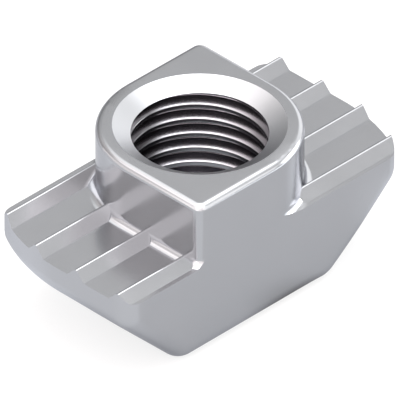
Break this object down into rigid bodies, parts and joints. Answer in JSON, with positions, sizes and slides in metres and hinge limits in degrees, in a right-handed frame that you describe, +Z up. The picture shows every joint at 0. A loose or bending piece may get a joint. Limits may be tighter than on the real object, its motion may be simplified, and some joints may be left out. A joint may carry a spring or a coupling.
{
  "type": "t slot nut",
  "caption": "Quarter-turn steel nut for a slotted profile: hammer head with ridged wings, squared neck and a countersunk threaded hole.",
  "frame": {"origin": "middle of the flat base, on the axis of the threaded hole", "axes": "+X along the head from end to end, +Y across the slot, +Z up the hole through the neck"},
  "size_m": [0.0196, 0.01, 0.0086],
  "materials": {
    "steel": "smooth bright zinc"
  },
  "bodies": {
    "root": {"slot_nut": "steel"}
  },
  "joints": []
}
